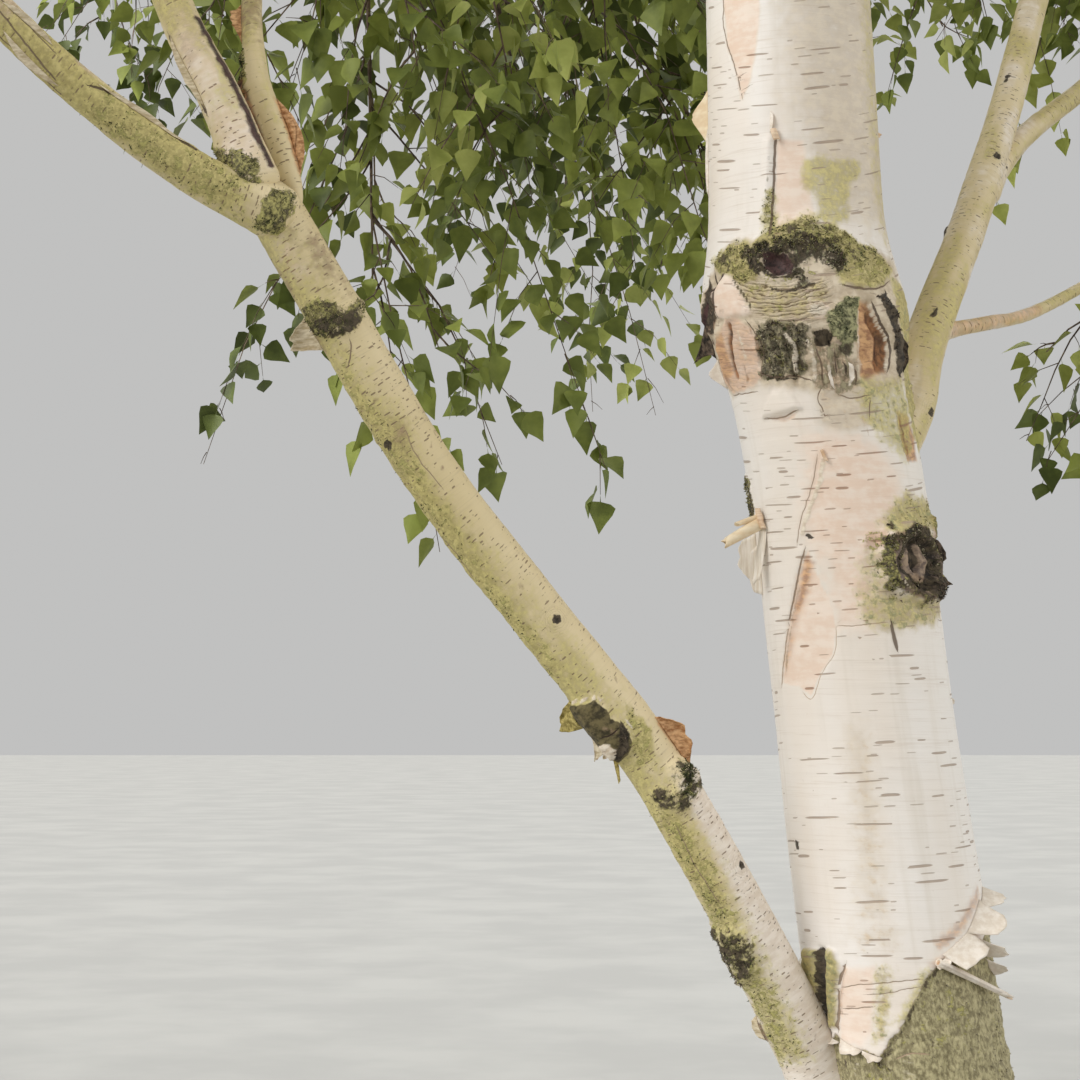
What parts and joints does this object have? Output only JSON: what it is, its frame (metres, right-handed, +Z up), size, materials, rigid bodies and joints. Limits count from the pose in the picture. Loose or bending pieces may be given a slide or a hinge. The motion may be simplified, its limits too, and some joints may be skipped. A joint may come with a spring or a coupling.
{
  "type": "silver birch tree",
  "caption": "Whole silver birch standing in the ground: pale leaning trunk, low side stem, boughs, and masses of hanging twigs with summer leaves.",
  "frame": {"origin": "middle of the flat cut under the trunk, at ground level", "axes": "+Z up the trunk, +X to the right of somebody looking along +Y, which points away from the picture's camera"},
  "size_m": [4.1829, 4.6068, 9.0922],
  "materials": {
    "bark_white": "smooth papery white bark with thin brown dashes, peeling curls and dark rough patches",
    "bark_limbs": "thin pale tan bark with yellow-green algae and short dark dashes",
    "foliage": "satin mid to dark green leaves on thin brown twigs"
  },
  "bodies": {
    "root": {"bough_1": "bark_limbs", "bough_10": "bark_limbs", "bough_11": "bark_limbs", "bough_12": "bark_limbs", "bough_2": "bark_limbs", "bough_3": "bark_limbs", "bough_4": "bark_limbs", "bough_5": "bark_limbs", "bough_6": "bark_limbs", "bough_7": "bark_limbs", "bough_8": "bark_limbs", "bough_9": "bark_limbs", "foliage_bough_1": "foliage", "foliage_bough_10": "foliage", "foliage_bough_11": "foliage", "foliage_bough_12": "foliage", "foliage_bough_2": "foliage", "foliage_bough_3": "foliage", "foliage_bough_4": "foliage", "foliage_bough_5": "foliage", "foliage_bough_6": "foliage", "foliage_bough_7": "foliage", "foliage_bough_8": "foliage", "foliage_bough_9": "foliage", "foliage_low_stem_left_limb": "foliage", "foliage_low_stem_side_limb": "foliage", "foliage_low_stem_upper_limb": "foliage", "foliage_right_bough": "foliage", "foliage_right_bough_lower_limb": "foliage", "foliage_right_bough_upper_limb": "foliage", "foliage_top": "foliage", "foliage_trunk_crest": "foliage", "foliage_trunk_high": "foliage", "foliage_trunk_low": "foliage", "foliage_trunk_middle": "foliage", "foliage_trunk_upper": "foliage", "low_stem": "bark_limbs", "low_stem_left_limb": "bark_limbs", "low_stem_side_limb": "bark_limbs", "low_stem_upper_limb": "bark_limbs", "right_bough": "bark_limbs", "right_bough_lower_limb": "bark_limbs", "right_bough_upper_limb": "bark_limbs", "trunk": "bark_white"}
  },
  "joints": []
}
